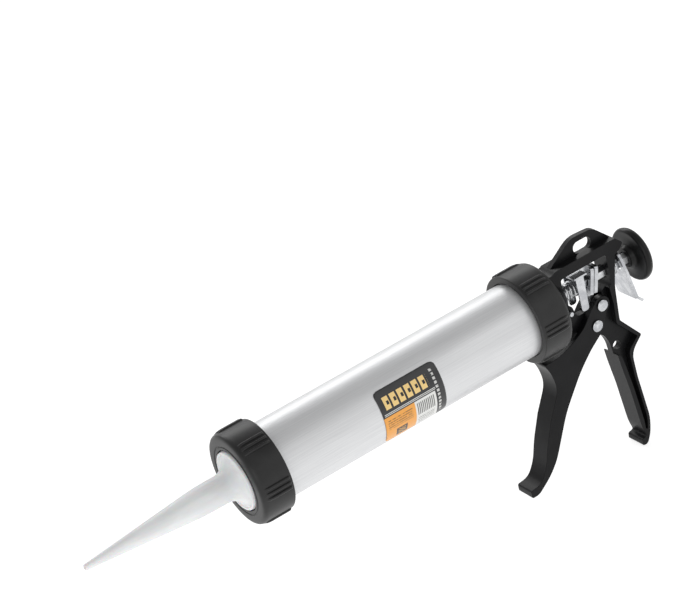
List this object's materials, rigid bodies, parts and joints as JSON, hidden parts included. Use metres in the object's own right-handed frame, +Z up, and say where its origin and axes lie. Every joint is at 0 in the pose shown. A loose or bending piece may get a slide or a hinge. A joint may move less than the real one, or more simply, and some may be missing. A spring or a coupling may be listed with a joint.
{
  "type": "caulking gun",
  "caption": "Closed-barrel caulking gun with an aluminium tube, screw ring caps, cone nozzle, ratchet rod with pull knob and squeeze trigger.",
  "frame": {"origin": "centre of the pull knob's flat rear face, on the rod's axis, with the rod pushed fully in", "axes": "-X along the rod and barrel towards the nozzle, +Z up away from the handle, Y across the flat frame"},
  "size_m": [0.4508, 0.0672, 0.1769],
  "materials": {
    "aluminium": "satin anodised tube with fine lengthwise grain",
    "black_nylon": "moulded black nylon, soft sheen",
    "black_paint": "semi-gloss black powder coat on die-cast metal",
    "white_pe": "translucent natural polyethylene",
    "zinc": "bright zinc plating",
    "steel": "bright drawn steel",
    "rubber": "black rubber",
    "label": null
  },
  "bodies": {
    "frame": {"frame_casting": "black_paint", "rod_bush": "steel", "trigger_pivot_rivet": "zinc", "stop_pin": "zinc", "return_spring": "steel", "release_spring": "steel"},
    "rear_cap": {"rear_ring_cap": "black_nylon"},
    "barrel": {"barrel_tube": "aluminium", "barrel_label": "label"},
    "nozzle_body": {"nozzle": "white_pe", "nozzle_gasket": "rubber"},
    "front_cap": {"front_ring_cap": "black_nylon"},
    "rod": {"push_rod": "steel", "piston": "black_nylon", "piston_seal": "rubber", "piston_screw": "zinc", "piston_washer": "zinc", "pull_knob": "black_nylon"},
    "trigger": {"trigger_lever": "black_paint", "pusher_rivet": "zinc"},
    "drive": {"grip_plate_front": "zinc", "grip_plate_rear": "zinc", "spring_carrier": "zinc"},
    "release": {"release_plate": "zinc"}
  },
  "joints": [
    {"name": "rear_cap_turn", "type": "hinge", "parent": "frame", "child": "rear_cap", "pos_m": [-0.096, 0, 0], "axis": [1, 0, 0], "range_deg": [0, 540]},
    {"name": "barrel_slide", "type": "slide", "parent": "frame", "child": "barrel", "axis": [-1, 0, 0], "range_m": [0, 0.0091]},
    {"name": "front_cap_turn", "type": "hinge", "parent": "nozzle_body", "child": "front_cap", "pos_m": [-0.3225, 0, 0], "axis": [-1, 0, 0], "range_deg": [0, 540]},
    {"name": "nozzle_slide", "type": "slide", "parent": "barrel", "child": "nozzle_body", "axis": [-1, 0, 0], "range_m": [0, 0.0091]},
    {"name": "rod_slide", "type": "slide", "parent": "frame", "child": "rod", "axis": [1, 0, 0], "range_m": [0, 0.201]},
    {"name": "trigger_squeeze", "type": "hinge", "parent": "frame", "child": "trigger", "pos_m": [-0.0509, 0, -0.0317], "axis": [0, -1, 0], "range_deg": [0, 33], "stiffness_Nm_per_rad": 0.9, "springref_deg": -14.32},
    {"name": "drive_slide", "type": "slide", "parent": "frame", "child": "drive", "axis": [-1, 0, 0], "range_m": [0, 0.0092], "deforming": ["return_spring"]},
    {"name": "release_press", "type": "hinge", "parent": "frame", "child": "release", "pos_m": [-0.0216, 0, 0.0106], "axis": [0, 1, 0], "range_deg": [0, 8], "stiffness_Nm_per_rad": 0.12, "springref_deg": -8.59}
  ],
  "couplings": [
    {"joint": "barrel_slide", "follows": "rear_cap_turn", "m_per_rad": 0.00095493},
    {"joint": "nozzle_slide", "follows": "front_cap_turn", "m_per_rad": 0.00095493},
    {"joint": "drive_slide", "follows": "trigger_squeeze", "m_per_rad": 0.0152}
  ]
}
